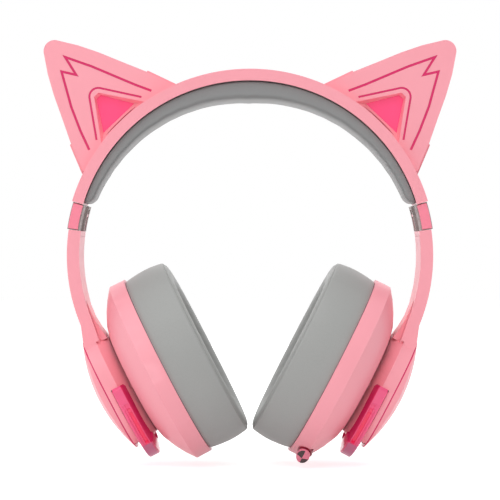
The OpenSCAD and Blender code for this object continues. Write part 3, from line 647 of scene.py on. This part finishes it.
def white_world():
    """A world that looks white and lights the object with a weaker, even light."""
    world = bpy.data.worlds.new("White surroundings")
    world.use_nodes = True
    tree = world.node_tree
    tree.nodes.clear()
    seen = seen_rays(tree)
    strength = add_node(tree, "ShaderNodeMapRange", links={"Value": seen}, To_Min=WORLD_LIGHT, To_Max=1.0)
    back = add_node(tree, "ShaderNodeBackground", links={"Strength": strength.outputs["Result"]})
    back.inputs["Color"].default_value = (1, 1, 1, 1)
    add_node(tree, "ShaderNodeOutputWorld", links={"Surface": back.outputs[0]})
    return world


def floor():
    """A plain pale floor a little below the headset, whose glow for the camera leaves the shadow on it."""
    low = CAD_BOX[0].z - FLOOR_GAP
    mesh = bpy.data.meshes.new("Floor")
    corners = [(x * FLOOR_REACH, y * FLOOR_REACH, low) for x, y in ((-1, -1), (1, -1), (1, 1), (-1, 1))]
    mesh.from_pydata(corners, [], [(0, 1, 2, 3)])
    made = bpy.data.objects.new("Floor", mesh)
    pale, tree, shader, _ = new_material("Pale floor")
    shader.inputs["Base Color"].default_value = (0.9, 0.9, 0.9, 1)
    shader.inputs["Roughness"].default_value = 0.9
    shader.inputs["Specular IOR Level"].default_value = 0.1
    shader.inputs["Emission Color"].default_value = (1, 1, 1, 1)
    seen = seen_rays(tree)
    glow = add_node(tree, "ShaderNodeMath", {"operation": "MULTIPLY"}, {0: seen})
    glow.inputs[1].default_value = FLOOR_GLOW
    tree.links.new(glow.outputs[0], shader.inputs["Emission Strength"])
    mesh.materials.append(pale)
    bpy.context.scene.collection.objects.link(made)


class HEADSET_OT_shells(bpy.types.Operator):
    """Headband, arms, caps and cup shells with rounded edges"""

    bl_idname = "headset.shells"
    bl_label = "Shells"

    def execute(self, context):
        softened("headband_shell", material("shell_pink"))
        for side in SIDES:
            # The arm shell has a crumb at the foot of its cap, which is left out
            softened(f"{side}_arm_shell", material("shell_pink"), one_part=True)
            for part in ("arm_cover", "cup_shell"):
                softened(f"{side}_{part}", material("shell_pink"))
            softened(f"{side}_hinge_block", material("liner_grey"), 0.25 * MM)
            softened(f"{side}_hinge_trim", material("trim_pink"), 0.2 * MM)
        return {"FINISHED"}


class HEADSET_OT_ears(bpy.types.Operator):
    """Cat ears with rounded edges, lit lines and a lens in a pocket"""

    bl_idname = "headset.ears"
    bl_label = "Ears"

    def execute(self, context):
        for side in SIDES:
            for part in ("ear_front", "ear_back", "ear_base"):
                softened(f"{side}_{part}", material("shell_pink"), 0.45 * MM)
            softened(f"{side}_ear_lens", material("lens_pink"), 0.15 * MM)
        return {"FINISHED"}


def headband_pad_rings():
    """The headband's pad: rings along the arc from one end to the other.

    Each ring is a rounded rectangle, as deep as the band there less 2.1 mm a side, square towards the band,
    and as thick as the pad is at that angle. The thickness falls evenly from the crown and ends in a quarter
    round. On the side towards the head, a seam is pressed 0.28 mm deep along both edges, with shallow ripples
    between them.
    """
    s = sizes()
    span = math.radians(72.5)
    a = np.linspace(-span, span, 260)[:, None]
    t = np.linspace(0, 2 * math.pi, 72, endpoint=False)[None, :]
    size = np.abs(a) / span
    round_angle = math.radians(3.5)
    end = np.sqrt(np.clip(1 - (np.clip((np.abs(a) - span + round_angle) / round_angle, 0, 1)) ** 2, 0.0, 1))
    outer = s.band_inner - 0.1 * MM
    thick = (s.pad_crown - 0.1 * MM - (s.pad_crown - s.pad_end) * size) * end
    top = s.arc_centre + s.band_radius
    low = s.arc_centre + s.band_radius * math.sin(math.radians(17))
    height = s.arc_centre + (outer - thick / 2) * np.cos(a)
    share = np.clip((height - low) / (top - low), 0, 1)
    half = (s.band_end_depth + (s.band_depth - s.band_end_depth) * share) / 2 - 2.1 * MM
    half = half - (1 - end) * 2.5 * MM
    against_band = np.sin(t) > 0
    y = half * signed_power(np.cos(t), np.where(against_band, 2 / 14, 2 / 4.5))
    rise = signed_power(np.sin(t), np.where(against_band, 2 / 14, 2 / 3.4))
    seam = np.exp(-(((np.abs(np.cos(t)) - 0.86) / 0.03) ** 2)) * (np.sin(t) < 0) * 0.28 * MM * end
    ripple = 0.12 * MM * np.sin(a * 41 + 2 * np.sin(a * 13)) * (np.sin(t) < 0) * np.abs(np.cos(t)) * end
    r = outer - thick * (1 - rise) / 2 + (seam + ripple)
    return np.stack([r * np.sin(a), y, s.arc_centre + r * np.cos(a)], -1)


def cushion_rings(side):
    """An ear cushion: rings round the cup, each a closed profile.

    A profile's point is a share of the way from the cup's oval to the ear opening's, a height above the seam
    and a distance in from the oval. The outer wall bulges slightly, turns over a sewn edge, and the face
    rolls down into the opening. Slow waves in both make the foam look upholstered.
    """
    s = sizes()
    depth = s.cushion_depth / MM
    keys = [
        (0, 0.15, 2.4), (0, 0.6, 1.5), (0, 3.5, 0.95), (0, 8.5, 0.55), (0, 13, 0.55), (0, 17, 0.95),
        (0, depth - 1.9, 1.4), (0, depth - 1.3, 2.0), (0, depth - 1.6, 2.55), (0, depth - 0.8, 2.75),
        (0.08, depth - 0.2, 3.2), (0.25, depth, 3.4), (0.5, depth - 0.35, 3.0), (0.72, depth - 1.6, 2.0),
        (0.88, depth - 4.2, 1.0), (0.97, depth - 8, 0.3), (1.0, depth - 12, 0), (1.0, 5, 0), (1.0, 0.6, 0),
        (0.97, 0.15, 0), (0.5, 0.12, 0.5),
    ]
    profile = through(keys, 132, closed=True)
    share, up, inset = (profile[:, k][None, :] for k in range(3))
    angle = np.linspace(0, 2 * math.pi, 288, endpoint=False)[:, None]
    wall = np.clip(np.sin(np.pi * np.clip(up / depth, 0, 1)), 0, 1) * (share < 0.01)
    inset = inset + wall * (0.12 * np.sin(angle * 9 + 1.3 * np.sin(4 * angle)) + 0.05 * np.sin(23 * angle))
    roll = np.exp(-(((share - 0.8) / 0.16) ** 2)) * (up > 4)
    up = up + roll * 0.16 * np.sin(angle * 31 + 2.2 * np.sin(5 * angle))
    everywhere = np.broadcast_to(angle, inset.shape)
    outer = oval(everywhere, 1, 1, 2.1)
    half = np.stack([s.cup_half_height / MM - inset, s.cup_half_depth / MM - 0.86 * inset], -1)
    hole = oval(everywhere, s.ear_hole_height / MM, s.ear_hole_depth / MM, 2.4)
    flat = outer * half * (1 - share[..., None]) + hole * share[..., None]
    local = np.concatenate([flat, -up[..., None]], -1) * MM
    return from_cup(local, side)


class HEADSET_OT_padding(bpy.types.Operator):
    """Headband pad and ear cushions of leatherette over foam, with seams"""

    bl_idname = "headset.padding"
    bl_label = "Padding"

    def execute(self, context):
        mesh = skin("headband_padding", headband_pad_rings())
        grey = material("pad_grey")
        pad = piece("headband_padding", mesh, "headband", grey, ["headband_pad"], 50)
        for side in SIDES:
            name = f"{side}_cushion"
            mesh = skin(name, cushion_rings(side), closed=True)
            grey = material("cushion_grey")
            made = piece(name, mesh, f"{side}_cup", grey, [f"{side}_ear_cushion"], 50)
        return {"FINISHED"}


def module_path(count):
    """A light module's outside, from its front end round the cap's foot to its back end.

    It is half of an oval round the cap, cut into even lengths. Returns the distances along it, its points and
    the directions away from the cap.
    """
    s = sizes()
    half_height, half_depth = s.cap_half_height / MM + 7.2, s.cap_half_depth / MM + 1.8
    fine = np.linspace(-math.pi / 2 - 0.05, math.pi / 2 + 0.05, 4001)
    line = oval(fine, half_height, half_depth, 2.2)
    steps = np.concatenate([[0], np.cumsum(np.linalg.norm(np.diff(line, axis=0), axis=1))])
    at = np.linspace(0, steps[-1], count)
    points = np.stack([np.interp(at, steps, line[:, k]) for k in (0, 1)], -1)
    along = np.gradient(points, axis=0)
    along /= np.linalg.norm(along, axis=1, keepdims=True)
    return at, points, np.stack([along[:, 1], -along[:, 0]], -1)


def smoothstep(x, low, high):
    """Rises from 0 to 1 between low and high, level at both ends."""
    t = np.clip((x - low) / (high - low), 0, 1)
    return t * t * (3 - 2 * t)


# A light module's profile: how far outside its path, how far out along the cup, and its share of the channel
MODULE_PROFILE = np.array([
    (-6.4, 21.05, 0), (-3.4, 21.9, 0), (-0.5, 22.75, 0), (0, 23.0, 0), (0, 23.25, 0), (-0.35, 23.45, 0.5),
    (-1.6, 23.6, 1), (-1.6, 25.1, 1), (-0.4, 25.25, 0.4), (-0.4, 26.1, 0.1), (-0.1, 26.25, 0), (0, 26.4, 0),
    (0, 27.1, 0), (-0.35, 27.45, 0), (-1.2, 27.7, 0), (-3.5, 27.75, 0),
])


def module_rings(side):
    """A light module: a bevelled bar carried round the cap's foot.

    Its inner side leans back to the neck, and its outer side has a small bevel. A channel runs along its
    face, comes up to the face in three steps near each end, and stops at the solid block round the foot. Both
    ends are bevelled. Returns the rings and what each point is: glowing, solid or on the inner side, whose
    deeper pink is painted shade.
    """
    at, points, out = module_path(560)
    total = at[-1]
    from_end = np.minimum(at, total - at)[:, None]
    from_middle = np.abs(at - total / 2)[:, None]
    foot = smoothstep(from_middle, 16.4, 16.9)
    steps = ((0.25, 8.8), (0.35, 11.2), (0.4, 13.4))
    channel = foot * sum(height * smoothstep(from_end, start, start + 0.35) for height, start in steps)
    shape = (len(at), len(MODULE_PROFILE))
    depth, width, share = (np.broadcast_to(MODULE_PROFILE[:, k], shape) for k in range(3))
    inner = width < 22.9
    on_face = (width > 23.3) & (width < 26.3)
    depth = np.where(on_face, depth * channel, depth)
    band = sum(np.exp(-(((from_end - start) / 0.3) ** 2)) for _, start in steps)
    depth = depth + on_face * 0.18 * band * foot
    end = np.clip(1 - from_end / 1.3, 0, 1)
    depth = depth - end * 0.9 * (depth > -3)
    width = 24.6 + (width - 24.6) * (1 - 0.12 * end)
    lower = (1 - foot) * (width < 22.8)
    width = width - 0.75 * lower
    place = points[:, None, :] + out[:, None, :] * depth[..., None]
    local = np.concatenate([place, width[..., None]], -1) * MM
    looks = {
        "glow": share * channel,
        "solid": (1 - foot) * (depth > -0.4),
        # Painted shade: this mark gives the module's inner side its deeper pink
        "inner": inner * 1.0,
    }
    return from_cup(local, side), looks


class HEADSET_OT_light_modules(bpy.types.Operator):
    """Translucent light modules round the feet of the caps"""

    bl_idname = "headset.light_modules"
    bl_label = "Light modules"

    def execute(self, context):
        for side in SIDES:
            rings, looks = module_rings(side)
            name = f"{side}_glow_module"
            mesh = skin(name, rings, attributes=looks)
            piece(name, mesh, f"{side}_arm", material("module"), [f"{side}_light_module"], 20)
        return {"FINISHED"}


# The microphone's profile: how far out along its axis, its radius, and its share of the cut's slant
MICROPHONE_PROFILE = np.array([
    (-40, 2.2, 0), (-39.4, 2.55, 0), (-38, 2.6, 0), (-8, 2.6, 0), (1.3, 2.6, 0), (1.4, 2.85, 0.05),
    (1.8, 3.0, 0.15), (3.1, 3.0, 0.85), (3.3, 3.1, 0.95), (3.7, 3.1, 1), (3.9, 2.95, 1), (4.0, 2.9, 1),
])


def microphone_rings():
    """The pull-out microphone: a round boom whose wider head is cut off at a slant towards the front.

    Each ring of the head leans by its share of the slant times the cosine round the axis. The cut is filled
    by rings that shrink evenly to an apex while they rise, with outlines between a circle and a square, so
    that four polished facets meet in ridges. Returns the rings and which points lie on a facet with a
    painted dark reflection.
    """
    s = sizes()
    turn, place = math.radians(-36.9), math.radians(27.4)
    exit_point = np.array([
        s.cup_half_height / MM * math.cos(place), -s.cup_half_depth / MM * math.sin(place), 6.2,
    ])
    axis = np.array([math.cos(turn), math.sin(turn), 0])
    front = np.array([math.sin(turn), -math.cos(turn), 0])
    out = np.array([0, 0, 1.0])
    slant, rise = 1.7, 1.0
    tip = np.concatenate([[0.03], np.linspace(0.1, 0.99, 16)])
    facets = np.concatenate([np.zeros(len(MICROPHONE_PROFILE)), tip])[:, None]
    along = np.concatenate([MICROPHONE_PROFILE[:, 0], MICROPHONE_PROFILE[-1, 0] + rise * tip])[:, None]
    size = np.concatenate([MICROPHONE_PROFILE[:, 1], MICROPHONE_PROFILE[-1, 1] * (1 - tip)])[:, None]
    share = np.concatenate([MICROPHONE_PROFILE[:, 2], 1 - tip])[:, None]
    angle = np.linspace(0, 2 * math.pi, 120, endpoint=False)[None, :]
    power = 2 - 0.5 * smoothstep(facets, 0.05, 0.6)
    x = signed_power(np.cos(angle), 2 / power) * size
    y = signed_power(np.sin(angle), 2 / power) * size
    along = along - slant * share * np.cos(angle)
    local = exit_point + along[..., None] * axis + x[..., None] * front + y[..., None] * out
    # Painted reflection: every other facet of the tip gets the dark reflected colour
    dark = (np.sin(2 * angle + 0.001) < 0) & (facets > 0.02)
    return from_cup(local * MM, "left"), {"painted_dark_reflection": dark * 1.0}


class HEADSET_OT_microphone(bpy.types.Operator):
    """Pull-out microphone with a polished, faceted tip"""

    bl_idname = "headset.microphone"
    bl_label = "Microphone"

    def execute(self, context):
        rings, looks = microphone_rings()
        mesh = skin("microphone_boom", rings, attributes=looks)
        gloss = material("microphone")
        piece("microphone_boom", mesh, body_of("mic_boom"), gloss, ["mic_boom"], 24)
        return {"FINISHED"}


class HEADSET_OT_caps(bpy.types.Operator):
    """Domed outer caps"""

    bl_idname = "headset.caps"
    bl_label = "Caps"

    def execute(self, context):
        for side in SIDES:
            softened(f"{side}_cap_dome", material("shell_pink"), 0.25 * MM)
        return {"FINISHED"}


class HEADSET_OT_fittings(bpy.types.Operator):
    """Finishes for CAD parts that show as they are, with the gimbals' steel pins painted like the shells"""

    bl_idname = "headset.fittings"
    bl_label = "Fittings"

    def execute(self, context):
        finishes = {p["node"]: p["material_slot"] for p in frame["record"]["subparts"]}
        for name, part in frame["nodes"].items():
            if part.hide_render:
                continue
            if name not in finishes:
                raise RuntimeError(f"{name} has no finish")
            finish = "shell_pink" if name.endswith("gimbal_pins") else finishes[name]
            for slot in part.material_slots:
                slot.material = material(finish)
        return {"FINISHED"}


class HEADSET_PT_panel(bpy.types.Panel):
    """Builds the headset piece by piece"""

    bl_label = "Headset"
    bl_idname = "HEADSET_PT_panel"
    bl_space_type = "VIEW_3D"
    bl_region_type = "UI"
    bl_category = "Headset"

    def draw(self, context):
        for step in STEPS:
            self.layout.operator(step.bl_idname)
        for group in (context.scene.headset_sizes, context.scene.headset_colours):
            for key in group.__annotations__:
                self.layout.prop(group, key)


STEPS = (
    HEADSET_OT_stage,
    HEADSET_OT_shells,
    HEADSET_OT_ears,
    HEADSET_OT_padding,
    HEADSET_OT_light_modules,
    HEADSET_OT_microphone,
    HEADSET_OT_caps,
    HEADSET_OT_fittings,
)
CLASSES = (HeadsetSizes, HeadsetColours, *STEPS, HEADSET_PT_panel)


def register():
    """Registers the classes and the scene's properties."""
    for cls in CLASSES:
        bpy.utils.register_class(cls)
    bpy.types.Scene.headset_sizes = PointerProperty(type=HeadsetSizes)
    bpy.types.Scene.headset_colours = PointerProperty(type=HeadsetColours)


def unregister():
    """Takes back what register() did."""
    del bpy.types.Scene.headset_colours
    del bpy.types.Scene.headset_sizes
    for cls in reversed(CLASSES):
        bpy.utils.unregister_class(cls)


def main():
    register()
    for step in STEPS:
        getattr(bpy.ops.headset, step.bl_idname.split(".")[1])()


if __name__ == "__main__":
    main()
